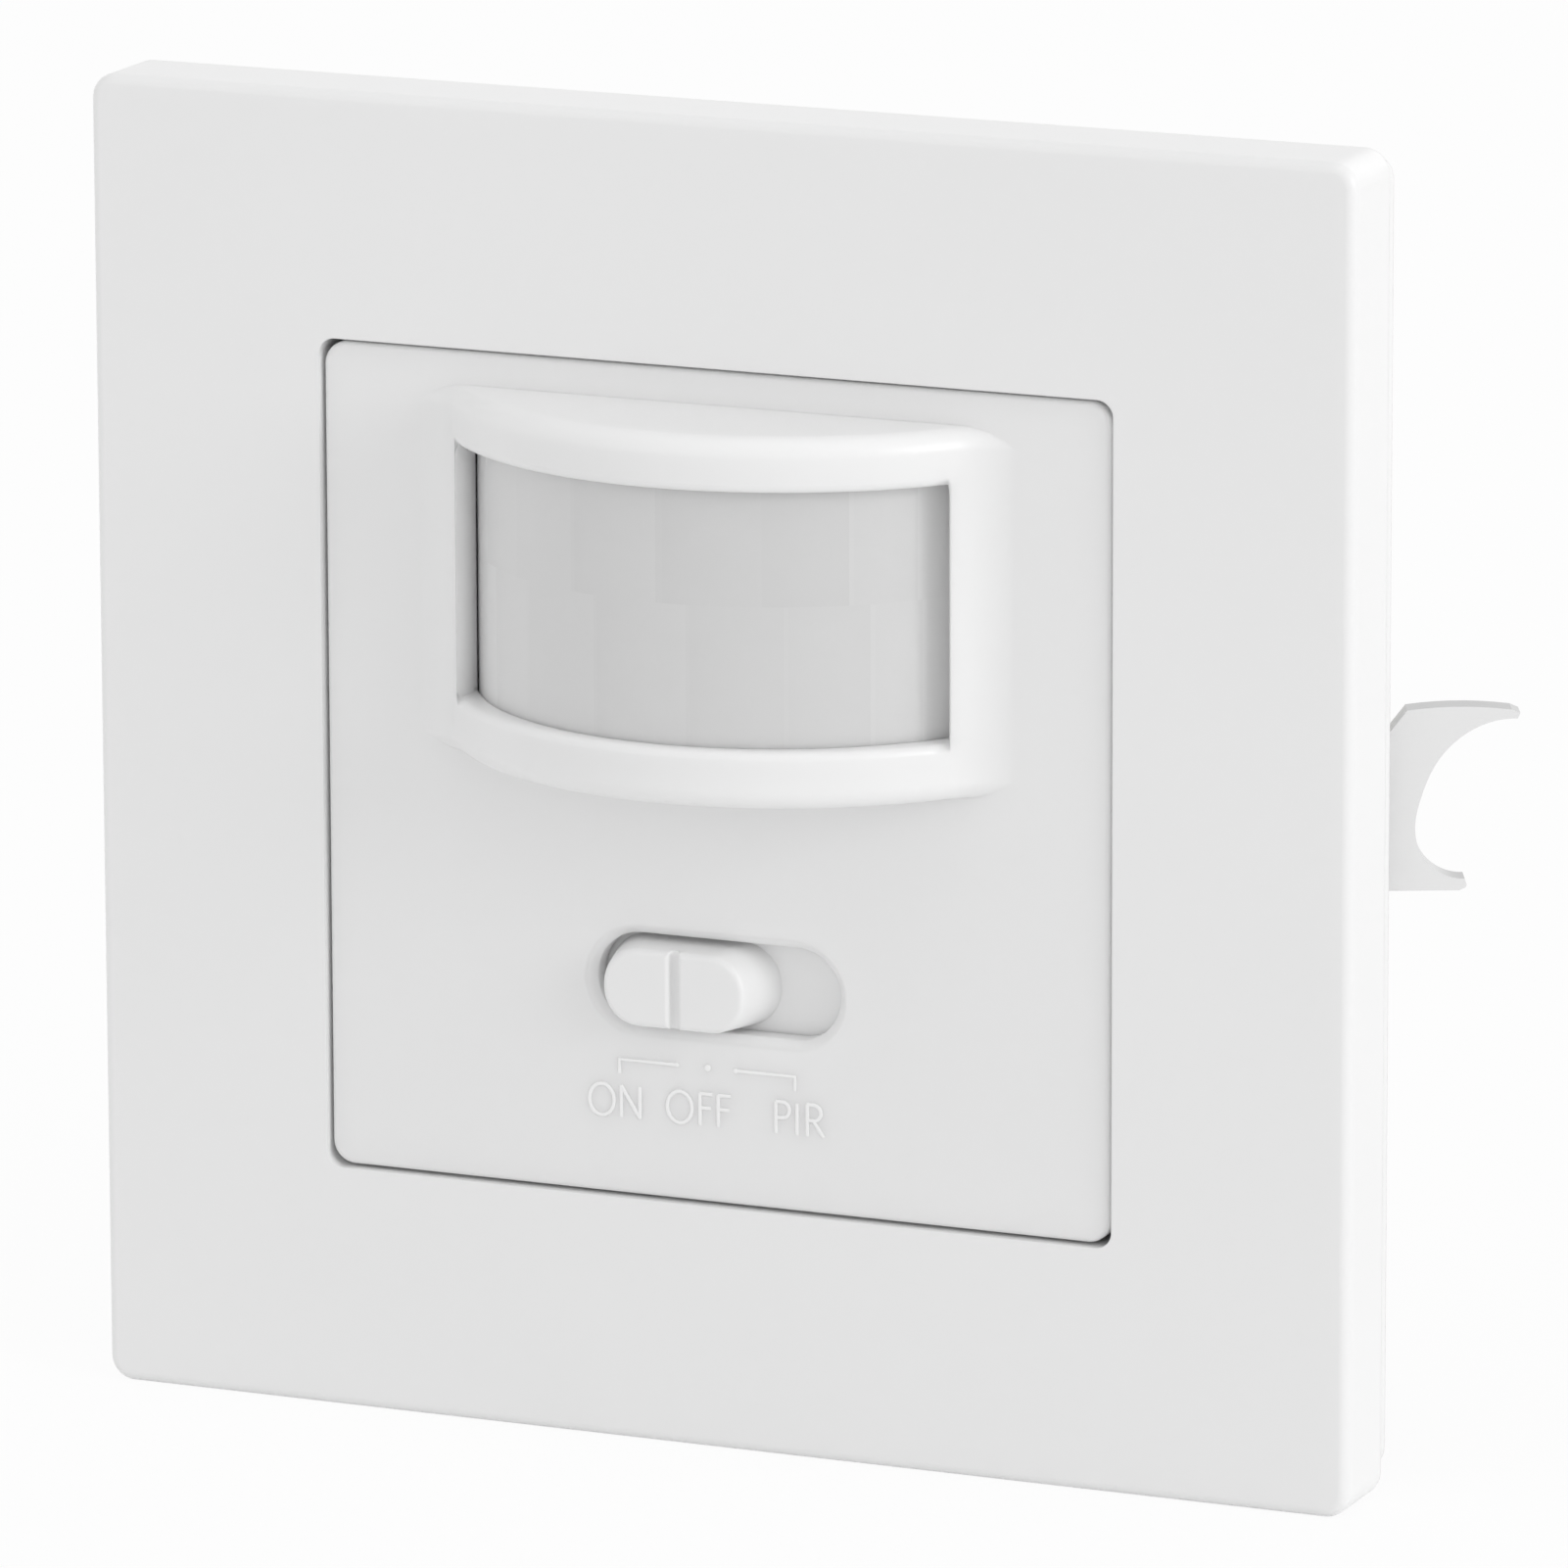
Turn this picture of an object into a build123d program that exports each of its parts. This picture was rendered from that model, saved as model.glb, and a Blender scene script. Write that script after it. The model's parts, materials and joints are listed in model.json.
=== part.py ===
from build123d import *
from math import atan2, cos, degrees, radians, sin, sqrt
import os

# Motion sensor light switch: a flush wall switch with an infrared detector.
# X is to the right, Y into the wall and Z up. The origin is at the middle of the wall plane.
# All sizes are in millimetres.

os.makedirs("parts", exist_ok=True)

# Driving sizes of the whole switch
frame_side = 80.0
frame_depth = 8.3
insert_side = 50.0
box_screw_spacing = 60.0
overrun = 1.0
running_play = 0.05
fit_play = 0.1

# Support ring, a flat steel plate against the wall
ring_side = 71.0
ring_thick = 1.2
ring_cut = 9.0
ring_window_width = 25.6
ring_window_height = 40.0
ring_window_r = 3.0
box_screw_hole_r = 2.1
ring_slot_length = 9.0
ring_slot_width = 4.0
ring_slot_offset = 15.0

# Cover frame
frame_slab = 5.5
rim_inset = 0.8
frame_wall = 1.6
frame_face = 2.0
frame_corner_r = 1.5
frame_edge_r = 0.6
opening_corner_r = 1.0
seam = 0.2
skirt_wall = 1.2
ledge_reach = 1.6
ledge_thick = 1.8
ledge_play = 0.2
frame_rib = 1.0
frame_rib_place = 13.0
frame_rib_drop = 0.8
head_notch = 7.8
pry_notch_width = 9.0
pry_notch_depth = 1.0

# Centre plate
plate_recess = 0.25
plate_thick = 1.8
plate_corner_r = 1.4
plate_edge_r = 0.3
plate_wall = 1.3
snap_width = 3.6
snap_thick = 1.2
snap_place = 19.8
barb_reach = 0.6
barb_height = 0.8
slot_length = 15.6
slot_height = 5.6
slot_z = -11.95
slot_lip = 0.6

# Lens hood on the centre plate
hood_arc_r = 20.4
hood_reach = 9.25
hood_low = 1.0
hood_height = 22.0
hood_wall = 1.7
hood_edge_r = 1.2
hood_flow_r = 4.8
flow_sink = 0.03
window_width = 31.4
window_sill = 3.5
window_head = 3.2

# Fresnel lens and the frame that holds it in the hood
lens_arc_r = 17.9
lens_thick = 0.7
lens_recess = 1.2
lens_margin = 1.2
lens_width = 33.2
lens_seat = 1.7
lens_play = 0.1
facet_line = 0.15
facet_depth = 0.12
facet_row_share = 0.54
upper_facet_shares = (-0.86, -0.63, -0.33, 0.0, 0.33, 0.63, 0.86)
lower_facet_shares = (-0.78, -0.56, -0.24, 0.1, 0.42, 0.7, 0.88)
retainer_thick = 1.2
retainer_bar = 1.0
retainer_foot_width = 2.2
retainer_foot_height = 6.0
retainer_bridge = 1.2

# Sliding knob
knob_step = 2.05
knob_z = -12.0
crown_length = 8.9
crown_height = 4.7
crown_corner_r = 2.2
crown_proud = 1.3
crown_edge_r = 0.35
knob_base_length = 10.9
knob_base_height = 5.0
knob_base_corner_r = 2.4
knob_groove_width = 0.6
knob_groove_depth = 0.55
knob_groove_rim_r = 0.25
flange_thick = 1.0
flange_lap = 0.8
flange_play = 0.15
guide_rib = 1.0
socket_wall = 1.2
socket_length = 2.4

# Slide switch on the front board
switch_length = 13.0
switch_height = 5.2
switch_depth = 5.0
switch_wall = 0.7
lever_side = 2.0
lever_reach = 3.4
lever_foot_thick = 1.2
lever_foot_lap = 0.6

# Chassis, the moulding in front of the ring
chassis_side = 46.4
chassis_corner_r = 1.5
chassis_floor = 1.2
chassis_rim = 1.2
chassis_rim_height = 2.2
eye_window_width = 22.0
eye_window_height = 15.6
eye_window_r = 2.0
rail_thick = 1.0
rail_length = 27.0
rail_play = 0.2
leg_r = 1.4
leg_x = 11.0
leg_upper_z = 1.5
leg_lower_z = -9.0

# Rear housing in the wall box
housing_width = 42.0
housing_height = 44.0
housing_depth = 24.0
housing_corner_r = 7.0
housing_wall = 1.6
housing_edge_r = 1.0
post_r = 2.8
post_inset = 5.8
post_x = housing_width / 2 - post_inset
post_z = housing_height / 2 - post_inset
shelf_width = 3.0
shelf_reach = 1.2
shelf_z = post_z - post_r - shelf_width
driver_hole_r = 2.3

# Housing screws, countersunk
screw_r = 1.25
screw_head_r = 2.5
screw_length = 12.0
screw_head_height = 1.2
cross_width = 0.5
cross_depth = 0.7

# Circuit boards
board_thick = 1.6
board_play = 0.4
board_width = housing_width - 2 * (housing_wall + board_play)
board_height = housing_height - 2 * (housing_wall + board_play)
notch_play = 0.3
board_notch_width = board_width / 2 - post_x + post_r + notch_play
board_notch_height = board_height / 2 - post_z + post_r + notch_play
board_corner_r = 0.8
front_board_y = 4.0
board_spacing = 2.0
header_pins = 5
header_spacing = 2.54
header_strip = 2.5
header_pin = 0.6
header_pin_proud = 1.0
header_hole_play = 0.05
header_z = -5.5

# Parts on the front board
can_r = 4.15
can_flange_r = 4.6
can_flange_thick = 0.5
can_height = 4.2
can_edge_r = 0.4
can_window_width = 4.8
can_window_height = 3.6
can_window_depth = 0.3
light_cell_r = 2.5
light_cell_thick = 2.0
light_cell_x = 8.8
light_cell_z = 8.6
light_track = 0.4
light_track_depth = 0.15
chip_length = 9.9
chip_width = 3.9
chip_height = 1.5
chip_leads = 8
chip_lead_spacing = 1.27
chip_lead = 0.4
chip_lead_reach = 1.0
chip_x = -2.0
chip_z = 1.2
trimmer_spacing = 8.0
trimmer_z = -17.2
trimmer_side = 5.2
trimmer_height = 3.6
trimmer_corner_r = 0.6
rotor_r = 2.0
rotor_thick = 1.8
rotor_proud = 0.3
rotor_slot = 0.6
rotor_slot_depth = 0.7

# Parts on the rear board
relay_length = 19.0
relay_width = 10.2
relay_height = 12.0
relay_corner_r = 0.8
relay_edge = 1.5
relay_gap = 1.4
relay_x = relay_length / 2 + notch_play - post_x + post_r
relay_z = board_height / 2 - relay_edge - relay_width / 2
film_length = 17.5
film_width = 7.0
film_height = 11.0
film_corner_r = 0.6
film_edge = 3.8
film_x = film_edge + film_length / 2 - board_width / 2
film_z = relay_z - relay_gap - (relay_width + film_width) / 2
can_cap_r = 4.0
can_cap_height = 11.0
can_cap_edge = 1.4
can_cap_x = board_width / 2 - can_cap_edge - can_cap_r
can_cap_z = 8.2
can_cap_groove = 0.5
can_cap_groove_place = 2.2
varistor_r = 4.5
varistor_thick = 3.6
varistor_x = 10.0
varistor_z = -3.6
lead_r = 0.35
lead_gap = 1.0
fuse_r = 1.7
fuse_length = 7.0
fuse_edge = 4.0
fuse_x = fuse_edge + fuse_length / 2 - board_width / 2
fuse_z = film_z - relay_gap - film_width / 2 - fuse_r
fuse_lead_reach = 1.4
diode_r = 1.3
diode_length = 3.6
diode_edge = 2.3
diode_x = diode_edge + diode_r - board_width / 2
diode_spacing = 4.0
diode_gap = 0.4
diode_count = 4
diode_lead_reach = 0.9

# Terminal block with rising cage clamps
pole_count = 3
pole_spacing = 7.5
block_height = 10.0
block_play = 0.2
block_floor = 0.8
cage_width = 5.2
cage_height = 5.6
cage_length = 6.4
cage_wall = 0.7
cage_plate = 1.2
cage_travel = 2.4
cage_play = 0.15
cage_rise = 5.4
cage_z = cage_rise - housing_height / 2
clamp_screw_r = 1.25
clamp_head_r = 1.9
clamp_head_height = 1.6
clamp_slot = 0.6
clamp_slot_depth = 0.8
bar_thick = 0.8
bar_half_width = 1.6
bar_seat = 0.5
bar_place = 3.6
shoulder_thick = 0.8
wire_hole_r = 1.4

# Spreading claws beside the housing, drawn for the right side and mirrored
claw_nut_half = 3.3
nut_play = 0.3
claw_screw_x = housing_width / 2 + nut_play + claw_nut_half
claw_pivot_y = 2.6
claw_screw_r = 1.75
claw_head_r = 3.1
claw_head_height = 1.5
claw_cross = 0.9
claw_cross_length = 3.6
claw_cross_depth = 0.9
claw_travel = 4.2
claw_tip_spare = 0.8
clip_r = 2.9
clip_thick = 0.8
nut_thick = 3.0
nut_height = 5.6
trunnion_r = 0.9
claw_sheet = 1.7
claw_angle = 65.0
claw_root_length = 6.85
claw_root_half = 3.9
claw_slot_length = 5.0
claw_arm_play = 0.15
claw_eye_r = 2.0
claw_half = 5.4
claw_crown = 0.2
claw_throat = 7.8
claw_upper_horn = 13.9
claw_lower_horn = 10.9
claw_tip_run = 0.5
claw_tip_r = 0.22
claw_shoulder = 7.3
claw_shoulder_angle = 52.0
claw_lower_shoulder = 4.6
crescent_shares = (
    (0.975, 0.9),
    (0.56, 0.79),
    (0.205, 0.42),
    (0.06, 0.05),
    (0.0, -0.31),
    (0.11, -0.68),
    (0.27, -0.82),
    (0.48, -0.87),
)
horn_tip_share = 0.96

# Levels along Y, worked out from the sizes above
front_y = -frame_depth
step_y = front_y + frame_slab
ring_front = -ring_thick
ledge_back = ring_front - ledge_play
ledge_front = ledge_back - ledge_thick
opening_side = insert_side + 2 * seam
skirt_side = opening_side + 2 * skirt_wall
rim_side = frame_side - 2 * rim_inset
cavity_side = rim_side - 2 * frame_wall
face_y = front_y + plate_recess
plate_back = face_y + plate_thick
hood_apex = face_y - hood_reach
hood_axis = hood_apex + hood_arc_r
hood_z = hood_low + hood_height / 2
window_low = hood_low + window_sill
window_high = hood_low + hood_height - window_head
window_z = (window_low + window_high) / 2
lens_apex = hood_apex + lens_recess
lens_axis = lens_apex + lens_arc_r
lens_height = window_high - window_low + 2 * lens_margin
lens_end_y = plate_back + lens_seat
chassis_back = ring_front
chassis_floor_y = chassis_back - chassis_floor
chassis_rim_y = chassis_floor_y - chassis_rim_height
flange_front = plate_back + flange_play
flange_back = flange_front + flange_thick
flange_length = slot_length + 2 * knob_step + 2 * flange_lap
flange_height = slot_height + 2 * flange_lap
knob_x = -knob_step
front_board_back = front_board_y + board_thick
rear_board_y = front_board_back + board_spacing
rear_board_back = rear_board_y + board_thick
housing_floor_y = housing_depth - housing_wall
housing_side_x = housing_width / 2
housing_bottom_z = -housing_height / 2
block_top_z = housing_bottom_z + block_height
diode_z = block_top_z + diode_gap + diode_length / 2 + diode_lead_reach + lead_r
switch_front = front_board_y - switch_depth
sensor_z = window_z


def at_depth(y):
    """The plane at one depth, seen from the room: X to the right, Z up. Cuts go back with a minus."""
    return Plane.XZ.offset(-y)


def slab(width, height, front, back, corner=0, at=((0, 0),), mode=Mode.ADD):
    """A plate between two depths, with round corners where a corner radius is given."""
    with BuildSketch(at_depth(front)) as outline:
        with Locations(*at):
            if corner:
                RectangleRounded(width, height, corner)
            else:
                Rectangle(width, height)
    extrude(outline.sketch, amount=front - back, mode=mode)


def rod(radius, front, back, at=((0, 0),), mode=Mode.ADD):
    """A round rod or hole along Y between two depths."""
    with BuildSketch(at_depth(front)) as outline:
        with Locations(*at):
            Circle(radius)
    extrude(outline.sketch, amount=front - back, mode=mode)


def front_edges(part):
    """The edges round the front face of a part."""
    return part.faces().sort_by(Axis.Y)[0].edges()


def both_sides(x, z):
    """The four places at plus and minus x and z."""
    return ((-x, -z), (x, -z), (-x, z), (x, z))


def finish(piece, name):
    """Gives a piece its name and writes it."""
    piece.part.label = name
    export_step(piece.part, f"parts/{name}.step")


# Support ring: flat sheet with a window for the mechanism, cut corners and screw holes
with BuildPart() as support_ring:
    with BuildSketch(at_depth(ring_front)) as ring_outline:
        Rectangle(ring_side, ring_side)
        chamfer(ring_outline.vertices(), ring_cut)
        RectangleRounded(ring_window_width, ring_window_height, ring_window_r, mode=Mode.SUBTRACT)
        with Locations((0, box_screw_spacing / 2), (0, -box_screw_spacing / 2)):
            Circle(box_screw_hole_r, mode=Mode.SUBTRACT)
        with Locations(*both_sides(box_screw_spacing / 2, ring_slot_offset)):
            SlotOverall(ring_slot_length, ring_slot_width, rotation=90, mode=Mode.SUBTRACT)
        with Locations(*both_sides(ring_slot_offset, box_screw_spacing / 2)):
            SlotOverall(ring_slot_length, ring_slot_width, mode=Mode.SUBTRACT)
        with Locations(*both_sides(post_x, post_z)):
            Circle(screw_r + fit_play, mode=Mode.SUBTRACT)
        with Locations((claw_screw_x, 0), (-claw_screw_x, 0)):
            Circle(claw_screw_r + running_play, mode=Mode.SUBTRACT)
    extrude(amount=-ring_thick)
finish(support_ring, "support_ring")

# Cover frame: a shell with a skirt round its opening and a ledge that the centre plate holds
with BuildPart() as cover_frame:
    slab(frame_side, frame_side, front_y, step_y, frame_corner_r)
    fillet(front_edges(cover_frame), frame_edge_r)
    slab(rim_side, rim_side, step_y, 0, frame_corner_r)
    slab(cavity_side, cavity_side, front_y + frame_face, overrun, frame_corner_r, mode=Mode.SUBTRACT)
    slab(skirt_side, skirt_side, front_y + frame_face, ledge_back, opening_corner_r + skirt_wall)
    rib_length = (cavity_side - skirt_side) / 2
    rib_middle = (cavity_side + skirt_side) / 4
    rib_back = ring_front - frame_rib_drop
    slab(rib_length, frame_rib, front_y + frame_face, rib_back, at=both_sides(rib_middle, frame_rib_place))
    slab(frame_rib, rib_length, front_y + frame_face, rib_back, at=both_sides(frame_rib_place, rib_middle))
    slab(opening_side, opening_side, front_y, ledge_front, opening_corner_r, mode=Mode.SUBTRACT)
    ledge_side = opening_side - 2 * ledge_reach
    slab(ledge_side, ledge_side, ledge_front, ledge_back, opening_corner_r, mode=Mode.SUBTRACT)
    notch_places = ((claw_screw_x, 0), (-claw_screw_x, 0))
    slab(head_notch, head_notch, ledge_front, ledge_back, at=notch_places, mode=Mode.SUBTRACT)
    with BuildSketch(at_depth(-pry_notch_depth)):
        with Locations((0, -rim_side / 2)):
            Rectangle(pry_notch_width, 2 * frame_wall + overrun)
    extrude(amount=-pry_notch_depth, mode=Mode.SUBTRACT)
finish(cover_frame, "cover_frame")

# Lens hood's plan: a convex arc that flows into the plate by a concave arc at each end
flow_line = face_y + flow_sink
flow_dy = hood_axis - flow_line + hood_flow_r
flow_x = sqrt((hood_arc_r + hood_flow_r) ** 2 - flow_dy**2)
meet_share = hood_arc_r / (hood_arc_r + hood_flow_r)
meet_x = flow_x * meet_share
meet_y = hood_axis - flow_dy * meet_share

with BuildPart() as centre_plate:
    slab(insert_side, insert_side, face_y, ledge_front, plate_corner_r)
    fillet(front_edges(centre_plate), plate_edge_r)
    plate_inner = insert_side - 2 * plate_wall
    slab(plate_inner, plate_inner, plate_back, ledge_front, plate_corner_r, mode=Mode.SUBTRACT)
    # hood wall, swept along the plan, and the filling behind it
    with BuildLine() as hood_path:
        TangentArc((-flow_x, flow_line), (-meet_x, meet_y), tangent=(1, 0))
        ThreePointArc((-meet_x, meet_y), (0, hood_apex), (meet_x, meet_y))
        TangentArc((meet_x, meet_y), (flow_x, flow_line), tangent=(flow_dy, flow_x))
    with BuildSketch(Plane((-flow_x, flow_line, hood_z), x_dir=(0, 1, 0), z_dir=(1, 0, 0))) as hood_section:
        Rectangle(hood_wall, hood_height, align=(Align.MIN, Align.CENTER))
        fillet(hood_section.vertices().group_by(Axis.X)[0], hood_edge_r)
    sweep(hood_section.sketch, path=hood_path.wires()[0], is_frenet=True)
    hood_fill_r = hood_arc_r - (hood_wall + hood_edge_r) / 2
    with BuildSketch(Plane.XY.offset(hood_low)):
        with Locations((0, hood_axis)):
            Circle(hood_fill_r)
        with Locations((0, hood_apex)):
            Rectangle(
                insert_side,
                plate_back - hood_apex - plate_thick / 2,
                align=(Align.CENTER, Align.MIN),
                mode=Mode.INTERSECT,
            )
    extrude(amount=hood_height)
    # window, and the pocket that the lens is laid into from behind
    window_height = window_high - window_low
    slab(
        window_width,
        window_height,
        hood_apex - overrun,
        plate_back + overrun,
        at=((0, window_z),),
        mode=Mode.SUBTRACT,
    )
    pocket_height = lens_height + 2 * lens_play
    with BuildSketch(Plane.XY.offset(window_z - pocket_height / 2)):
        with Locations((0, lens_axis)):
            Circle(lens_arc_r + lens_play)
        with Locations((0, lens_apex - overrun)):
            Rectangle(
                lens_width + 2 * lens_play,
                plate_back + 2 * overrun - lens_apex,
                align=(Align.CENTER, Align.MIN),
                mode=Mode.INTERSECT,
            )
    extrude(amount=pocket_height, mode=Mode.SUBTRACT)
    # slot for the knob, with a chamfered lip
    with BuildSketch(at_depth(face_y)):
        with Locations((0, slot_z)):
            SlotOverall(slot_length, slot_height)
    extrude(amount=-plate_thick, mode=Mode.SUBTRACT)
    slot_edges = (
        centre_plate.edges()
        .filter_by_position(Axis.Y, face_y, face_y)
        .filter_by_position(Axis.Z, slot_z - slot_height, slot_z + slot_height)
        .filter_by_position(Axis.X, -slot_length / 2, slot_length / 2)
    )
    chamfer(slot_edges, slot_lip)
    # ribs that guide the knob's flange
    guide_z = flange_height / 2 + flange_play + guide_rib / 2
    slab(
        flange_length + 2 * knob_step,
        guide_rib,
        plate_back,
        flange_back,
        at=((0, slot_z + guide_z), (0, slot_z - guide_z)),
    )
    # four snap arms with barbs
    rim_inner_z = chassis_side / 2 - chassis_rim
    snap_z = rim_inner_z - fit_play - snap_thick / 2
    slab(snap_width, snap_thick, plate_back, chassis_floor_y - fit_play, at=both_sides(snap_place, snap_z))
    barb_back = chassis_floor_y - barb_height
    barb_z = snap_z + barb_reach
    slab(snap_width, snap_thick, barb_back - barb_height, barb_back, at=both_sides(snap_place, barb_z))
finish(centre_plate, "centre_plate")

# Fresnel lens: a curved sheet with two rows of facets, parted by fine lines on its inside
lens_inner_r = lens_arc_r - lens_thick
with BuildPart() as fresnel_lens:
    with BuildSketch(Plane.XY.offset(window_z - lens_height / 2)):
        with Locations((0, lens_axis)):
            Circle(lens_arc_r)
            Circle(lens_inner_r, mode=Mode.SUBTRACT)
        with Locations((0, lens_apex)):
            Rectangle(
                lens_width,
                lens_end_y - lens_apex,
                align=(Align.CENTER, Align.MIN),
                mode=Mode.INTERSECT,
            )
    extrude(amount=lens_height)
    facet_z = window_low + window_height * facet_row_share
    lens_half_angle = degrees(atan2(window_width / 2, lens_axis - face_y))
    with BuildSketch(Plane.XY.offset(facet_z - facet_line / 2)):
        with Locations((0, lens_axis)):
            Circle(lens_inner_r + facet_depth)
            Circle(lens_inner_r - overrun, mode=Mode.SUBTRACT)
    extrude(amount=facet_line, mode=Mode.SUBTRACT)
    lens_low = window_z - lens_height / 2
    lens_high = window_z + lens_height / 2
    for low, high, shares in (
        (lens_low, facet_z, lower_facet_shares),
        (facet_z, lens_high, upper_facet_shares),
    ):
        for share in shares:
            turn = radians(share * lens_half_angle)
            middle_r = lens_inner_r + (facet_depth - overrun) / 2
            place = (middle_r * sin(turn), lens_axis - middle_r * cos(turn))
            with BuildSketch(Plane.XY.offset(low)):
                with Locations(Location(place, degrees(turn))):
                    Rectangle(facet_line, facet_depth + overrun)
            extrude(amount=high - low, mode=Mode.SUBTRACT)
finish(fresnel_lens, "fresnel_lens")

# Lens retainer: a frame behind the lens with a foot at each side on the plate's back
retainer_r = lens_inner_r - running_play
retainer_half = lens_width / 2 - lens_play
foot_x = lens_width / 2 + lens_play + lens_thick + retainer_foot_width / 2
bridge_front = lens_end_y + lens_play
foot_back = bridge_front + retainer_bridge
with BuildPart() as lens_retainer:
    with BuildSketch(Plane.XY.offset(lens_low)):
        with Locations((0, lens_axis)):
            Circle(retainer_r)
            Circle(retainer_r - retainer_thick, mode=Mode.SUBTRACT)
        with Locations((0, lens_apex)):
            Rectangle(
                2 * retainer_half,
                foot_back - lens_apex,
                align=(Align.CENTER, Align.MIN),
                mode=Mode.INTERSECT,
            )
    extrude(amount=lens_height)
    foot_z = window_z - lens_height / 2 + retainer_foot_height / 2
    foot_places = ((-foot_x, foot_z), (foot_x, foot_z))
    slab(retainer_foot_width, retainer_foot_height, plate_back, foot_back, at=foot_places)
    bridge_inner = retainer_half - retainer_thick
    bridge_outer = foot_x + retainer_foot_width / 2
    bridge_x = (bridge_inner + bridge_outer) / 2
    slab(
        bridge_outer - bridge_inner,
        retainer_foot_height,
        bridge_front,
        foot_back,
        at=((-bridge_x, foot_z), (bridge_x, foot_z)),
    )
    slab(
        2 * bridge_inner,
        lens_height - 2 * retainer_bar,
        lens_apex,
        foot_back + overrun,
        at=((0, window_z),),
        mode=Mode.SUBTRACT,
    )
finish(lens_retainer, "lens_retainer")

# Sliding knob: a grooved crown on a tapered body, a flange behind the slot and a socket for the lever
crown_y = front_y - crown_proud
lever_front = switch_front - lever_reach
with BuildPart() as slide_knob:
    with BuildSketch(at_depth(crown_y)):
        with Locations((knob_x, knob_z)):
            RectangleRounded(crown_length, crown_height, crown_corner_r)
    with BuildSketch(at_depth(flange_front)):
        with Locations((knob_x, knob_z)):
            RectangleRounded(knob_base_length, knob_base_height, knob_base_corner_r)
    loft()
    fillet(front_edges(slide_knob), crown_edge_r)
    # groove across the crown with round rims
    with BuildSketch(Plane.XY.offset(knob_z - knob_base_height / 2)) as groove:
        with Locations((knob_x, crown_y)):
            Rectangle(2 * knob_groove_width, overrun, align=(Align.CENTER, Align.MAX))
            Rectangle(knob_groove_width, knob_groove_depth, align=(Align.CENTER, Align.MIN))
        groove_corners = groove.vertices().filter_by_position(Axis.Y, crown_y, crown_y + knob_groove_depth)
        groove_half = knob_groove_width / 2
        fillet(
            groove_corners.filter_by_position(Axis.X, knob_x - groove_half, knob_x + groove_half),
            knob_groove_rim_r,
        )
    extrude(amount=knob_base_height, mode=Mode.SUBTRACT)
    slab(flange_length, flange_height, flange_front, flange_back, crown_corner_r, at=((knob_x, slot_z),))
    socket_side = lever_side + 2 * fit_play
    socket_outer = socket_side + 2 * socket_wall
    slab(socket_outer, socket_outer, flange_back, flange_back + socket_length, at=((knob_x, knob_z),))
    slab(
        socket_side,
        socket_side,
        lever_front - fit_play,
        flange_back + socket_length,
        at=((knob_x, knob_z),),
        mode=Mode.SUBTRACT,
    )
finish(slide_knob, "slide_knob")

# Slide switch: a hollow body on the front board and the lever that the knob moves
switch_inner_height = switch_height - 2 * switch_wall
lever_run = 2 * knob_step
with BuildPart() as slide_switch_body:
    slab(switch_length, switch_height, switch_front, front_board_y, at=((0, knob_z),))
    slab(
        switch_length - 2 * switch_wall,
        switch_inner_height,
        switch_front + switch_wall,
        front_board_y - switch_wall,
        at=((0, knob_z),),
        mode=Mode.SUBTRACT,
    )
    slab(
        lever_side + lever_run + 2 * fit_play,
        lever_side + 2 * fit_play,
        switch_front - overrun,
        switch_front + switch_wall,
        at=((0, knob_z),),
        mode=Mode.SUBTRACT,
    )
finish(slide_switch_body, "slide_switch_body")

lever_foot_front = switch_front + switch_wall + fit_play
lever_foot_side = lever_side + 2 * lever_foot_lap
with BuildPart() as slide_switch_lever:
    slab(lever_side, lever_side, lever_front, lever_foot_front, at=((knob_x, knob_z),))
    slab(
        lever_foot_side,
        switch_inner_height - 2 * fit_play,
        lever_foot_front,
        lever_foot_front + lever_foot_thick,
        at=((knob_x, knob_z),),
    )
finish(slide_switch_lever, "slide_switch_lever")

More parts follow.
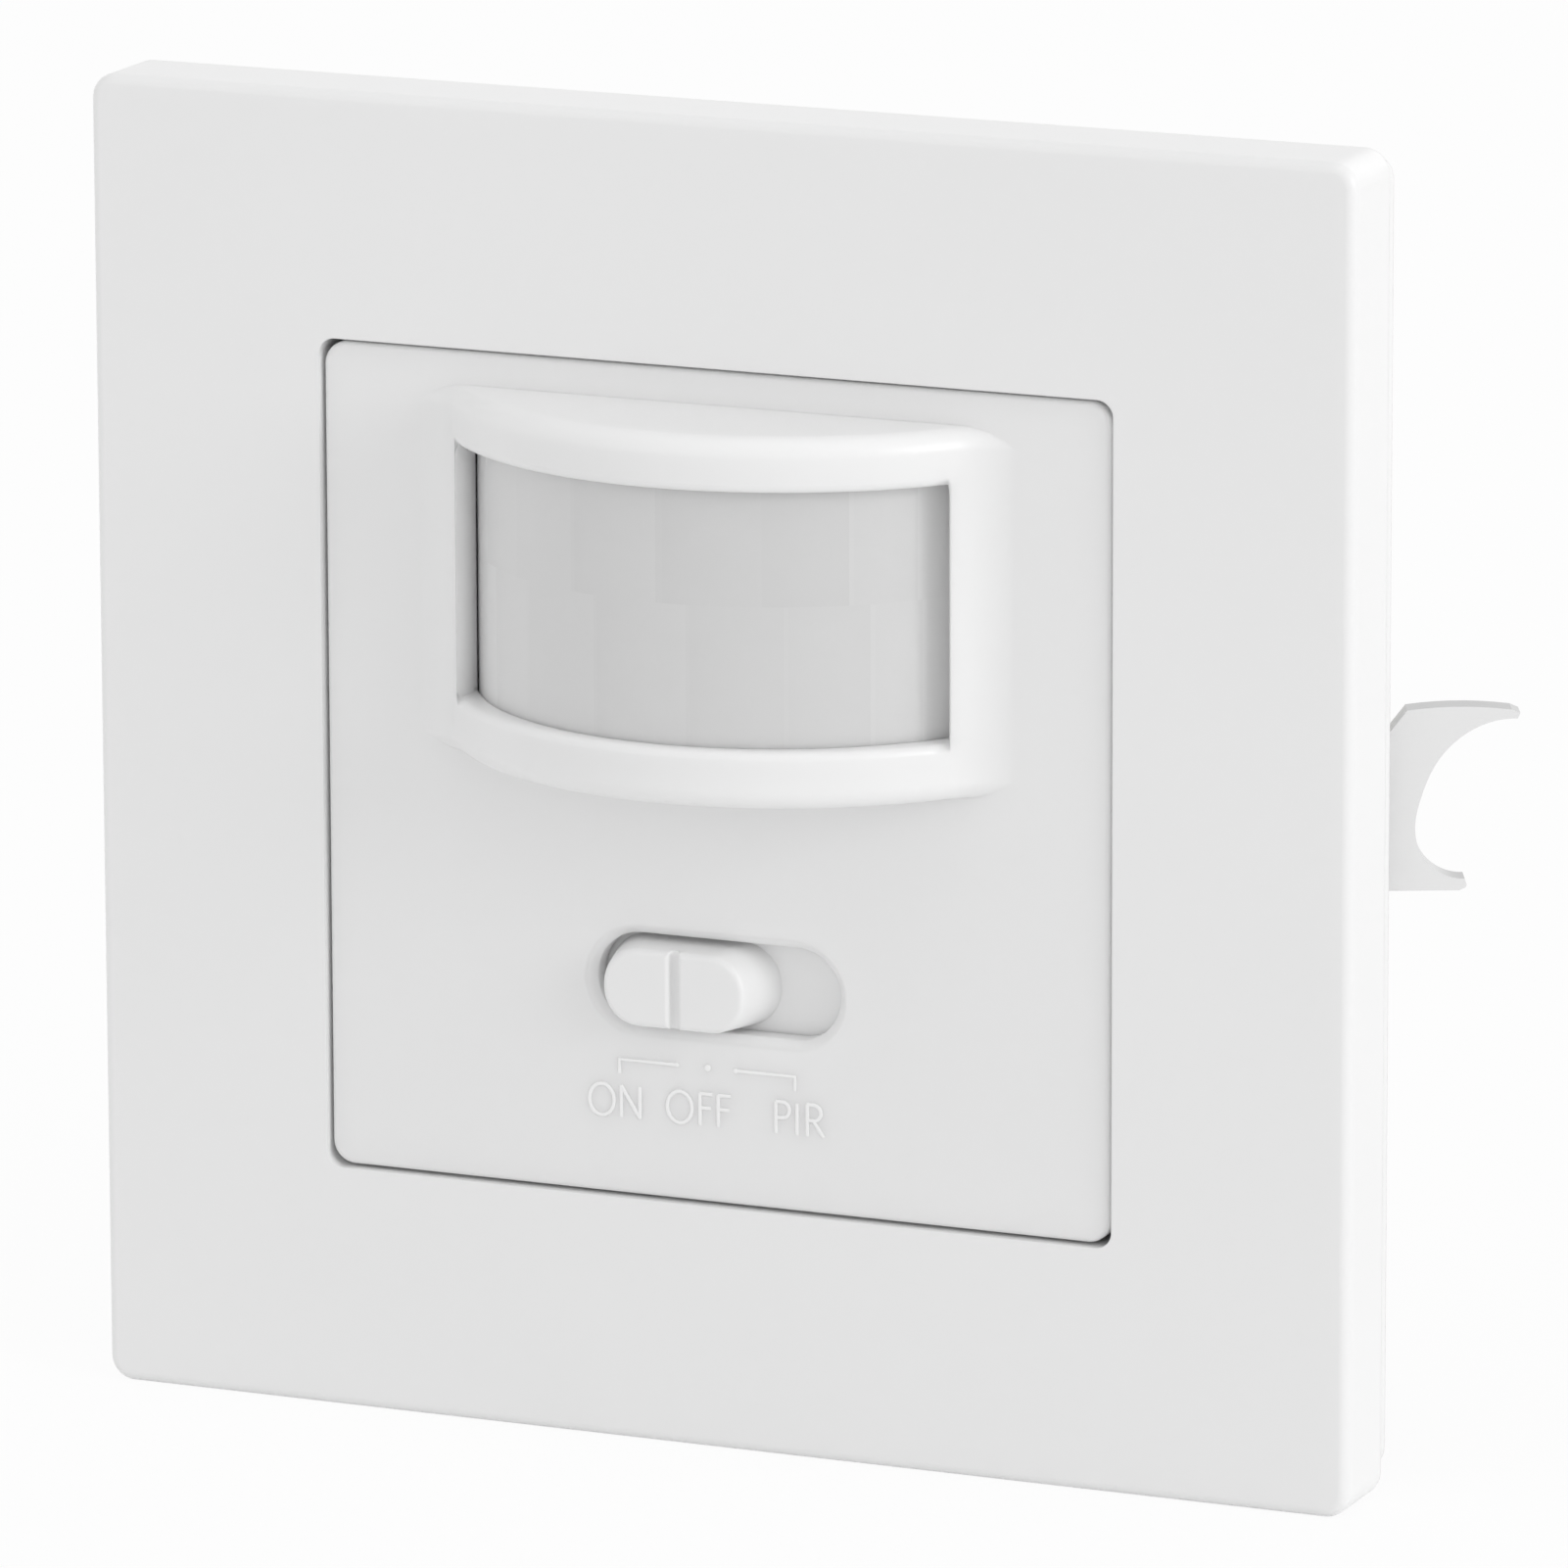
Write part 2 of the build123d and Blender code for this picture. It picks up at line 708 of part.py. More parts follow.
# Chassis: a tray on the ring, with a rim for the snap arms, rails behind the knob and legs to the board
with BuildPart() as chassis:
    slab(chassis_side, chassis_side, chassis_rim_y, chassis_back, chassis_corner_r)
    tray_side = chassis_side - 2 * chassis_rim
    tray_corner_r = chassis_corner_r - chassis_rim
    slab(tray_side, tray_side, chassis_rim_y, chassis_floor_y, tray_corner_r, mode=Mode.SUBTRACT)
    rail_front = flange_back + rail_play
    rail_z = (flange_height - rail_thick) / 2
    slab(
        rail_length,
        rail_thick,
        rail_front,
        chassis_floor_y,
        at=((0, slot_z + rail_z), (0, slot_z - rail_z)),
    )
    slab(
        eye_window_width,
        eye_window_height,
        chassis_rim_y,
        chassis_back,
        eye_window_r,
        at=((0, sensor_z),),
        mode=Mode.SUBTRACT,
    )
    slab(
        socket_outer + lever_run + 2 * overrun,
        switch_height + 2 * fit_play,
        chassis_rim_y,
        chassis_back,
        at=((0, knob_z),),
        mode=Mode.SUBTRACT,
    )
    trimmer_places = tuple((pole * trimmer_spacing, trimmer_z) for pole in (-1, 0, 1))
    rod(rotor_r + rotor_proud, chassis_floor_y, chassis_back, at=trimmer_places, mode=Mode.SUBTRACT)
    slab(
        snap_width + 2 * fit_play,
        chassis_rim + 2 * fit_play,
        barb_back - barb_height - fit_play,
        barb_back + fit_play,
        at=both_sides(snap_place, rim_inner_z + chassis_rim / 2),
        mode=Mode.SUBTRACT,
    )
    # room for the heads of the claw screws
    slab(head_notch, head_notch, chassis_rim_y, chassis_back, at=notch_places, mode=Mode.SUBTRACT)
    leg_places = ((-leg_x, leg_upper_z), (leg_x, leg_upper_z), (-leg_x, leg_lower_z), (leg_x, leg_lower_z))
    rod(leg_r, chassis_floor_y, front_board_y, at=leg_places)
    with Locations(*(Location((x, chassis_floor_y, z), (90, 0, 0)) for x, z in both_sides(post_x, post_z))):
        CounterSinkHole(screw_r + fit_play, screw_head_r + fit_play, depth=chassis_floor + overrun)
finish(chassis, "chassis")

# Rear housing: an open box with screw posts, shelves for the rear board and a gap for the terminals
block_width = pole_count * pole_spacing
pole_places = tuple(((pole - (pole_count - 1) / 2) * pole_spacing, cage_z) for pole in range(pole_count))
with BuildPart() as rear_housing:
    slab(housing_width, housing_height, 0, housing_depth, housing_corner_r)
    fillet(rear_housing.faces().sort_by(Axis.Y)[-1].edges(), housing_edge_r)
    slab(
        housing_width - 2 * housing_wall,
        housing_height - 2 * housing_wall,
        0,
        housing_floor_y,
        housing_corner_r - housing_wall,
        mode=Mode.SUBTRACT,
    )
    rod(post_r, 0, housing_floor_y, at=both_sides(post_x, post_z))
    rod(
        screw_r + running_play,
        0,
        screw_length + overrun,
        at=both_sides(post_x, post_z),
        mode=Mode.SUBTRACT,
    )
    shelf_x = housing_side_x - housing_wall - shelf_reach / 2
    slab(shelf_reach, shelf_width, rear_board_back, housing_floor_y, at=both_sides(shelf_x, shelf_z))
    slab(
        block_width + 2 * block_play,
        2 * housing_wall,
        rear_board_back - block_play,
        housing_floor_y,
        at=((0, housing_bottom_z),),
        mode=Mode.SUBTRACT,
    )
    rod(driver_hole_r, housing_floor_y, housing_depth, at=pole_places, mode=Mode.SUBTRACT)
finish(rear_housing, "rear_housing")

# Housing screws: four countersunk screws through the chassis and the ring
with BuildPart() as housing_screws:
    head_back = chassis_floor_y + screw_head_height
    for place in both_sides(post_x, post_z):
        with BuildSketch(at_depth(chassis_floor_y)):
            with Locations(place):
                Circle(screw_head_r)
        with BuildSketch(at_depth(head_back)):
            with Locations(place):
                Circle(screw_r)
        loft()
    rod(screw_r, head_back, screw_length, at=both_sides(post_x, post_z))
    cross_depth_y = chassis_floor_y + cross_depth
    for width, height in ((cross_width, screw_head_r), (screw_head_r, cross_width)):
        slab(
            width,
            height,
            chassis_floor_y,
            cross_depth_y,
            at=both_sides(post_x, post_z),
            mode=Mode.SUBTRACT,
        )
finish(housing_screws, "housing_screws")


def board(front):
    """A circuit board's outline with cut corners and the header's holes, made inside a part."""
    with BuildSketch(at_depth(front)) as outline:
        RectangleRounded(board_width, board_height, board_corner_r)
        notch_x = board_width / 2 - board_notch_width / 2 + overrun / 2
        notch_z = board_height / 2 - board_notch_height / 2 + overrun / 2
        with Locations(*both_sides(notch_x, notch_z)):
            Rectangle(board_notch_width + overrun, board_notch_height + overrun, mode=Mode.SUBTRACT)
        hole_side = header_pin + 2 * header_hole_play
        with Locations((0, header_z)):
            with GridLocations(header_spacing, header_spacing, header_pins, 1):
                Rectangle(hole_side, hole_side, mode=Mode.SUBTRACT)
    extrude(outline.sketch, amount=-board_thick)


with BuildPart() as sensor_board:
    board(front_board_y)
finish(sensor_board, "sensor_board")

with BuildPart() as power_board:
    board(rear_board_y)
finish(power_board, "power_board")

# Header: a plastic strip between the boards with pins through both
with BuildPart() as board_header:
    slab(
        header_pins * header_spacing,
        header_strip,
        front_board_back,
        rear_board_y,
        at=((0, header_z),),
    )
    with BuildSketch(at_depth(front_board_y - header_pin_proud)):
        with Locations((0, header_z)):
            with GridLocations(header_spacing, header_spacing, header_pins, 1):
                Rectangle(header_pin, header_pin)
    extrude(amount=front_board_y - rear_board_back - 2 * header_pin_proud)
finish(board_header, "board_header")

# Infrared sensor: a round metal can with a flange and a sunk window, on the lens's line of sight
with BuildPart() as pyro_sensor:
    can_front = front_board_y - can_height
    rod(can_flange_r, front_board_y - can_flange_thick, front_board_y, at=((0, sensor_z),))
    rod(can_r, can_front, front_board_y - can_flange_thick, at=((0, sensor_z),))
    fillet(front_edges(pyro_sensor), can_edge_r)
    slab(
        can_window_width,
        can_window_height,
        can_front,
        can_front + can_window_depth,
        at=((0, sensor_z),),
        mode=Mode.SUBTRACT,
    )
finish(pyro_sensor, "pyro_sensor")

# Light cell: a flat disc with a winding track on its face
with BuildPart() as light_sensor:
    cell_front = front_board_y - light_cell_thick
    rod(light_cell_r, cell_front, front_board_y, at=((light_cell_x, light_cell_z),))
    with BuildSketch(at_depth(cell_front)):
        with Locations((light_cell_x, light_cell_z)):
            with GridLocations(light_cell_r, 2 * light_track, 1, 4):
                Rectangle(light_cell_r, light_track)
    extrude(amount=-light_track_depth, mode=Mode.SUBTRACT)
finish(light_sensor, "light_sensor")

# Detector chip: a moulded body with two rows of bent leads
with BuildPart() as sensor_chip:
    lead_top = front_board_y - chip_height / 2
    slab(chip_length, chip_width, front_board_y - chip_height, front_board_y - fit_play, at=((chip_x, chip_z),))
    lead_reach_z = chip_width / 2 + chip_lead_reach / 2
    foot_at = chip_width / 2 + chip_lead_reach
    for side in (-1, 1):
        for front, back, height, z in (
            (lead_top, lead_top + chip_lead / 2, chip_lead_reach, chip_z + side * lead_reach_z),
            (lead_top, front_board_y, chip_lead, chip_z + side * foot_at),
        ):
            with BuildSketch(at_depth(front)):
                with Locations((chip_x, z)):
                    with GridLocations(chip_lead_spacing, chip_lead_spacing, chip_leads, 1):
                        Rectangle(chip_lead, height)
            extrude(amount=front - back)
finish(sensor_chip, "sensor_chip")

# Three setting potentiometers: square bodies with a recess, and a slotted rotor in each
rotor_front = front_board_y - trimmer_height - rotor_proud
rotor_back = rotor_front + rotor_thick
with BuildPart() as trimmer_bodies:
    slab(
        trimmer_side,
        trimmer_side,
        front_board_y - trimmer_height,
        front_board_y,
        trimmer_corner_r,
        at=trimmer_places,
    )
    rod(
        rotor_r + running_play,
        rotor_front,
        rotor_back + running_play,
        at=trimmer_places,
        mode=Mode.SUBTRACT,
    )
finish(trimmer_bodies, "trimmer_bodies")

for setting, place in zip(("range", "lux", "time"), trimmer_places):
    with BuildPart() as trimmer_rotor:
        rod(rotor_r, rotor_front, rotor_back, at=(place,))
        slab(
            rotor_slot,
            2 * rotor_r - rotor_slot,
            rotor_front,
            rotor_front + rotor_slot_depth,
            at=(place,),
            mode=Mode.SUBTRACT,
        )
    finish(trimmer_rotor, f"trimmer_rotor_{setting}")

# Relay in its sealed case
with BuildPart() as relay:
    slab(
        relay_length,
        relay_width,
        rear_board_back,
        rear_board_back + relay_height,
        relay_corner_r,
        at=((relay_x, relay_z),),
    )
    fillet(relay.faces().sort_by(Axis.Y)[-1].edges(), relay_corner_r / 2)
finish(relay, "relay")

# Film capacitor, a moulded box
with BuildPart() as film_capacitor:
    slab(
        film_length,
        film_width,
        rear_board_back,
        rear_board_back + film_height,
        film_corner_r,
        at=((film_x, film_z),),
    )
    fillet(film_capacitor.faces().sort_by(Axis.Y)[-1].edges(), film_corner_r / 2)
finish(film_capacitor, "film_capacitor")

# Smoothing capacitor: a standing can with the rolled groove near its foot
with BuildPart() as smoothing_capacitor:
    with BuildSketch(Plane.XY.offset(can_cap_z)):
        with BuildLine():
            foot_y = rear_board_back
            top_y = rear_board_back + can_cap_height
            groove_y = foot_y + can_cap_groove_place
            rim_x = can_cap_x + can_cap_r
            Polyline(
                (rim_x, groove_y - can_cap_groove),
                (rim_x, foot_y),
                (can_cap_x, foot_y),
                (can_cap_x, top_y),
                (rim_x, top_y),
                (rim_x, groove_y + can_cap_groove),
            )
            ThreePointArc(
                (rim_x, groove_y + can_cap_groove),
                (rim_x - can_cap_groove, groove_y),
                (rim_x, groove_y - can_cap_groove),
            )
        make_face()
    revolve(axis=Axis((can_cap_x, 0, can_cap_z), (0, 1, 0)))
    fillet(smoothing_capacitor.faces().sort_by(Axis.Y)[-1].edges(), can_cap_groove)
finish(smoothing_capacitor, "smoothing_capacitor")

# Varistor: a coated disc standing on two leads
with BuildPart() as varistor:
    disc_y = rear_board_back + lead_gap + varistor_r
    with BuildSketch(Plane.XY.offset(varistor_z - varistor_thick / 2)):
        with Locations((varistor_x, disc_y)):
            Circle(varistor_r)
    extrude(amount=varistor_thick)
    fillet(varistor.edges().filter_by(GeomType.CIRCLE), varistor_thick / 3)
    rod(
        lead_r,
        rear_board_back,
        disc_y,
        at=((varistor_x - varistor_r / 2, varistor_z), (varistor_x + varistor_r / 2, varistor_z)),
    )
finish(varistor, "varistor")


def axial_part(radius, length, x, z, along, reach):
    """A lying round body with a lead out of each end that turns down into the board."""
    middle_y = rear_board_back + radius + lead_r
    side = Plane((x, middle_y, z), z_dir=along)
    half = length / 2 + reach
    with BuildSketch(side.offset(-length / 2)) as body:
        Circle(radius)
    extrude(body.sketch, amount=length)
    with BuildSketch(side.offset(-half)) as lead:
        Circle(lead_r)
    extrude(lead.sketch, amount=2 * half)
    step_x, step_z = half * along[0], half * along[2]
    rod(lead_r, middle_y, rear_board_back, at=((x - step_x, z - step_z), (x + step_x, z + step_z)))


# Fusible resistor, lying along X
with BuildPart() as fuse_resistor:
    axial_part(fuse_r, fuse_length, fuse_x, fuse_z, (1, 0, 0), fuse_lead_reach)
finish(fuse_resistor, "fuse_resistor")

# Rectifier: four lying diodes side by side
with BuildPart() as rectifier_diodes:
    for number in range(diode_count):
        axial_part(diode_r, diode_length, diode_x + number * diode_spacing, diode_z, (0, 0, 1), diode_lead_reach)
finish(rectifier_diodes, "rectifier_diodes")

# Terminal block: three poles, each with a pocket for the cage clamp and a wire hole from below
block_middle_z = (housing_bottom_z + block_top_z) / 2
pocket_front = rear_board_back + block_floor
cage_front = pocket_front + cage_play
cage_back = cage_front + cage_length
pocket_back = cage_back + cage_travel + cage_play
head_seat = pocket_back + shoulder_thick
bar_front = cage_front + bar_place
bar_back = bar_front + bar_thick
wire_y = (cage_front + cage_wall + bar_front) / 2
pocket_width = cage_width + 2 * cage_play
pocket_height_z = cage_height + 2 * cage_play
with BuildPart() as terminal_block:
    slab(block_width, block_height, rear_board_back, housing_floor_y, at=((0, block_middle_z),))
    slab(pocket_width, pocket_height_z, pocket_front, pocket_back, at=pole_places, mode=Mode.SUBTRACT)
    rod(clamp_screw_r + fit_play, pocket_back, head_seat, at=pole_places, mode=Mode.SUBTRACT)
    rod(clamp_head_r + fit_play, head_seat, housing_floor_y, at=pole_places, mode=Mode.SUBTRACT)
    slab(
        2 * bar_half_width,
        pocket_height_z + 2 * bar_seat,
        bar_front,
        bar_back,
        at=pole_places,
        mode=Mode.SUBTRACT,
    )
    with BuildSketch(Plane.XY.offset(housing_bottom_z)):
        with Locations(*((x, wire_y) for x, z in pole_places)):
            Circle(wire_hole_r)
    extrude(amount=cage_z - housing_bottom_z, mode=Mode.SUBTRACT)
finish(terminal_block, "terminal_block")

# Contact bars: the fixed strips that the cages draw the wires against
with BuildPart() as terminal_contacts:
    slab(
        2 * bar_half_width,
        pocket_height_z + 2 * bar_seat,
        bar_front,
        bar_back,
        at=pole_places,
    )
finish(terminal_contacts, "terminal_contacts")

for number, place in enumerate(pole_places, 1):
    # cage clamp: a square loop with a thicker plate that the screw threads through
    with BuildPart() as terminal_clamp:
        slab(cage_width, cage_height, cage_front, cage_back, at=(place,))
        slab(
            cage_width - 2 * cage_wall,
            cage_height + overrun,
            cage_front + cage_wall,
            cage_back - cage_plate,
            at=(place,),
            mode=Mode.SUBTRACT,
        )
        rod(clamp_screw_r + running_play, cage_back - cage_plate, cage_back, at=(place,), mode=Mode.SUBTRACT)
    finish(terminal_clamp, f"terminal_clamp_{number}")
    # terminal screw: slotted head, its tip on the contact bar
    with BuildPart() as terminal_screw:
        head_front = head_seat + running_play
        head_back_y = head_front + clamp_head_height
        rod(clamp_screw_r, bar_back + running_play, head_front, at=(place,))
        rod(clamp_head_r, head_front, head_back_y, at=(place,))
        slab(
            clamp_slot,
            2 * clamp_head_r,
            head_back_y - clamp_slot_depth,
            head_back_y,
            at=(place,),
            mode=Mode.SUBTRACT,
        )
    finish(terminal_screw, f"terminal_screw_{number}")

# Claw screw: pan head in front of the ring, shank beside the housing
claw_head_back = ring_front - running_play
claw_head_front = claw_head_back - claw_head_height
claw_screw_end = claw_pivot_y + claw_travel + nut_thick / 2 + claw_tip_spare
right_claw = ((claw_screw_x, 0),)
with BuildPart() as claw_screw_right:
    rod(claw_head_r, claw_head_front, claw_head_back, at=right_claw)
    fillet(front_edges(claw_screw_right), claw_head_height / 3)
    rod(claw_screw_r, claw_head_back, claw_screw_end, at=right_claw)
    for width, height in ((claw_cross, claw_cross_length), (claw_cross_length, claw_cross)):
        slab(
            width,
            height,
            claw_head_front,
            claw_head_front + claw_cross_depth,
            at=right_claw,
            mode=Mode.SUBTRACT,
        )

# Clip behind the ring that keeps the screw from sliding forward
with BuildPart() as claw_clip_right:
    rod(clip_r, running_play, running_play + clip_thick, at=right_claw)
    rod(claw_screw_r, running_play, running_play + clip_thick, at=right_claw, mode=Mode.SUBTRACT)

# Trunnion nut: runs along the screw beside the housing wall and carries the claw
nut_front = claw_pivot_y - nut_thick / 2
with BuildPart() as claw_nut_right:
    slab(2 * claw_nut_half, nut_height, nut_front, nut_front + nut_thick, at=right_claw)
    with BuildSketch(Plane.XY.offset(-claw_root_half)):
        with Locations((claw_screw_x, claw_pivot_y)):
            Circle(trunnion_r)
    extrude(amount=2 * claw_root_half)
    rod(claw_screw_r + running_play, nut_front, nut_front + nut_thick, at=right_claw, mode=Mode.SUBTRACT)

# Claw: a forked root on the nut's trunnions, then a bent plate with two horns and a crescent between
bend_x = claw_screw_x + claw_root_length
claw_lean = radians(claw_angle)
claw_plane = Plane(
    (bend_x, claw_pivot_y, 0),
    x_dir=(sin(claw_lean), cos(claw_lean), 0),
    z_dir=(cos(claw_lean), -sin(claw_lean), 0),
)
chamfer_run = (claw_half - claw_root_half) / sin(radians(claw_shoulder_angle))
chamfer_run *= cos(radians(claw_shoulder_angle))
crescent = [
    (claw_throat + along * (claw_upper_horn - claw_throat), up * claw_half) for along, up in crescent_shares
]
with BuildPart() as claw_right:
    with BuildSketch(Plane.XY.offset(-claw_root_half)):
        with Locations((claw_screw_x, claw_pivot_y)):
            Circle(claw_eye_r)
        with Locations((claw_screw_x, claw_pivot_y)):
            Rectangle(claw_root_length, claw_sheet, align=(Align.MIN, Align.CENTER))
        with Locations((bend_x, claw_pivot_y)):
            Circle(claw_sheet / 2)
        with Locations((claw_screw_x, claw_pivot_y)):
            Circle(trunnion_r + running_play, mode=Mode.SUBTRACT)
    extrude(amount=2 * claw_root_half)
    with BuildSketch(claw_plane) as claw_outline:
        with BuildLine():
            Spline(*crescent)
            Polyline(
                crescent[-1],
                (claw_lower_horn, -claw_half * horn_tip_share),
                (claw_lower_horn - claw_tip_run, -claw_half),
                (claw_lower_shoulder, -claw_half),
                (claw_lower_shoulder - chamfer_run, -claw_root_half),
                (0, -claw_root_half),
                (0, claw_root_half),
                (claw_shoulder - chamfer_run, claw_root_half),
                (claw_shoulder, claw_half),
            )
            ThreePointArc(
                (claw_shoulder, claw_half),
                ((claw_shoulder + claw_upper_horn) / 2, claw_half + claw_crown),
                (claw_upper_horn - claw_tip_run, claw_half),
            )
            Polyline(
                (claw_upper_horn - claw_tip_run, claw_half),
                (claw_upper_horn, claw_half * horn_tip_share),
                crescent[0],
            )
        make_face()
        for horn in (claw_lower_horn, claw_upper_horn):
            fillet(claw_outline.vertices().filter_by_position(Axis.X, horn, horn), claw_tip_r)
    extrude(amount=claw_sheet / 2, both=True)
    fork_height = nut_height + 2 * claw_arm_play
    with BuildSketch(Plane.XY.offset(-fork_height / 2)):
        with Locations((claw_screw_x - claw_eye_r, claw_pivot_y)):
            Rectangle(claw_eye_r + claw_slot_length, 2 * claw_eye_r, align=(Align.MIN, Align.CENTER))
    extrude(amount=fork_height, mode=Mode.SUBTRACT)

for name, right in (
    ("claw_screw", claw_screw_right),
    ("claw_clip", claw_clip_right),
    ("claw_nut", claw_nut_right),
    ("claw", claw_right),
):
    finish(right, f"{name}_right")
    with BuildPart() as left:
        mirror(right.part, about=Plane.YZ)
    finish(left, f"{name}_left")

print("cage travel takes", round(cage_travel, 2), "mm and the claw nut", round(claw_travel, 2), "mm")
print("lens half angle", round(lens_half_angle, 1), "degrees, hood ends at x", round(flow_x, 2))
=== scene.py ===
import json
import math

import bmesh
import bpy
from mathutils import Matrix, Vector


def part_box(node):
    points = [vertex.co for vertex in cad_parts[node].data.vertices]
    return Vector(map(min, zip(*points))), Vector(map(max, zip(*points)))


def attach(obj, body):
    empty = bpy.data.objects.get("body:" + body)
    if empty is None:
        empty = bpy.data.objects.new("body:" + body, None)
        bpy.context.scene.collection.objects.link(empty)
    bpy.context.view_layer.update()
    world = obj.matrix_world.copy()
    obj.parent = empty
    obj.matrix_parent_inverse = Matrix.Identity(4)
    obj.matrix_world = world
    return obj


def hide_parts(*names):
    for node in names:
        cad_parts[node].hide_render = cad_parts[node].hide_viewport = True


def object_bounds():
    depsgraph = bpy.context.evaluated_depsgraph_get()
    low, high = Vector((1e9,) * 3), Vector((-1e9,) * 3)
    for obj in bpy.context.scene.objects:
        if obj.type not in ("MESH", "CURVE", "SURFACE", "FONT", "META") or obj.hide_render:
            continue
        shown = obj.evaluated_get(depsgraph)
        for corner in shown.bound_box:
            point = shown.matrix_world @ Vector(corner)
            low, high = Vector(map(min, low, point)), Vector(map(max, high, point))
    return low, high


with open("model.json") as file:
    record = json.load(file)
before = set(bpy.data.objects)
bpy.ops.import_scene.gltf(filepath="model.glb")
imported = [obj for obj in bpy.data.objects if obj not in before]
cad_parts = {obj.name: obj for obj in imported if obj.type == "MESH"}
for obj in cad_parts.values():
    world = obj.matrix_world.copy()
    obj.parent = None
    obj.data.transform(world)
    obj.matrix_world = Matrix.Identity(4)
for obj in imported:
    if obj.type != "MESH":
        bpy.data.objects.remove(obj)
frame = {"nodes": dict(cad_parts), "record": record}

cad_low, cad_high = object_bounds()
scene = bpy.context.scene
nodes_by_name = frame["nodes"]
slot_of_node = {s["node"]: s["material_slot"] for s in frame["record"]["subparts"]}

MM = 0.001


# Camera, from a fit to the corners of the frame, the plate and the hood

CAMERA_AZIMUTH = math.radians(23.3434)
CAMERA_ELEVATION = math.radians(13.0199)
CAMERA_ROLL = math.radians(-0.1904)
CAMERA_PLACE = Vector((301.604, -696.614, 174.187)) * MM
SENSOR = 36.0
PHOTO_SIDE = 1601
FOCAL_PIXELS = 13444.78
CLIP_NEAR, CLIP_FAR = 0.01, 50.0

back = Vector((
    math.sin(CAMERA_AZIMUTH) * math.cos(CAMERA_ELEVATION),
    -math.cos(CAMERA_AZIMUTH) * math.cos(CAMERA_ELEVATION),
    math.sin(CAMERA_ELEVATION),
))
level = Vector((math.cos(CAMERA_AZIMUTH), math.sin(CAMERA_AZIMUTH), 0.0))
upward = back.cross(level)
right = math.cos(CAMERA_ROLL) * level + math.sin(CAMERA_ROLL) * upward
up = -math.sin(CAMERA_ROLL) * level + math.cos(CAMERA_ROLL) * upward
camera = bpy.data.objects.new("camera", bpy.data.cameras.new("camera"))
scene.collection.objects.link(camera)
camera.data.sensor_width = SENSOR
camera.data.lens = FOCAL_PIXELS / PHOTO_SIDE * SENSOR
camera.data.clip_start = CLIP_NEAR
camera.data.clip_end = CLIP_FAR
turn = Matrix((right, up, back)).transposed().to_4x4()
camera.matrix_world = Matrix.Translation(CAMERA_PLACE) @ turn
scene.camera = camera


# Node helpers

# Most of a noise's values lie between these two
NOISE_LOW, NOISE_HIGH = 0.3, 0.7
NOISE_DETAIL = 3.0
# Share by which the roughness of a surface varies
ROUGH_SHARE = 0.1
BEVEL_SAMPLES = 8
# Sockets of a colour mix node, which share their names with those of the other data types
MIX_A, MIX_B, MIX_RESULT = 6, 7, 2


def new_material(name):
    """A material with an empty node tree, and its output node."""
    material = bpy.data.materials.new(name)
    material.use_nodes = True
    tree = material.node_tree
    tree.nodes.clear()
    output = tree.nodes.new("ShaderNodeOutputMaterial")
    return material, tree, output


def add(tree, kind, **values):
    """A node with some of its inputs set. Names with spaces are written with underscores."""
    node = tree.nodes.new(kind)
    for key, value in values.items():
        node.inputs[key.replace("_", " ")].default_value = value
    return node


def math_node(tree, operation, first, second=None):
    """A math node on a socket or a number, and its result socket."""
    node = tree.nodes.new("ShaderNodeMath")
    node.operation = operation
    for place, value in enumerate((first, second)):
        if value is None:
            continue
        if isinstance(value, (int, float)):
            node.inputs[place].default_value = value
        else:
            tree.links.new(value, node.inputs[place])
    return node.outputs[0]


def mix_colours(tree, blend, factor, first, second):
    """A colour mix of a socket with a socket or a grey level. The factor is either of these too."""
    mix = tree.nodes.new("ShaderNodeMix")
    mix.data_type = "RGBA"
    mix.blend_type = blend
    if isinstance(factor, float):
        mix.inputs["Factor"].default_value = factor
    else:
        tree.links.new(factor, mix.inputs["Factor"])
    tree.links.new(first, mix.inputs[MIX_A])
    if isinstance(second, float):
        mix.inputs[MIX_B].default_value = (second, second, second, 1.0)
    else:
        tree.links.new(second, mix.inputs[MIX_B])
    return mix.outputs[MIX_RESULT]


def noise(tree, scale, stretch=(1.0, 1.0, 1.0)):
    """Noise over the object's own coordinates. scale is in cells for each millimetre."""
    coordinates = tree.nodes.new("ShaderNodeTexCoord")
    mapping = tree.nodes.new("ShaderNodeMapping")
    mapping.inputs["Scale"].default_value = [s / MM for s in stretch]
    texture = add(tree, "ShaderNodeTexNoise", Scale=scale, Detail=NOISE_DETAIL)
    tree.links.new(coordinates.outputs["Object"], mapping.inputs["Vector"])
    tree.links.new(mapping.outputs["Vector"], texture.inputs["Vector"])
    return texture.outputs["Fac"]


def spread(tree, value, low, high):
    """Noise turned into a number between low and high."""
    node = tree.nodes.new("ShaderNodeMapRange")
    node.inputs["From Min"].default_value = NOISE_LOW
    node.inputs["From Max"].default_value = NOISE_HIGH
    node.inputs["To Min"].default_value = low
    node.inputs["To Max"].default_value = high
    tree.links.new(value, node.inputs["Value"])
    return node.outputs["Result"]


def shades(tree, value, colour, share):
    """A colour that gets darker and lighter by a share, with a noise value."""
    ramp = tree.nodes.new("ShaderNodeValToRGB")
    stops = ramp.color_ramp.elements
    stops[0].position, stops[1].position = NOISE_LOW, NOISE_HIGH
    for stop, factor in zip(stops, (1.0 - share, 1.0 + share)):
        stop.color = [min(1.0, c * factor) for c in colour] + [1.0]
    tree.links.new(value, ramp.inputs["Fac"])
    return ramp.outputs["Color"]


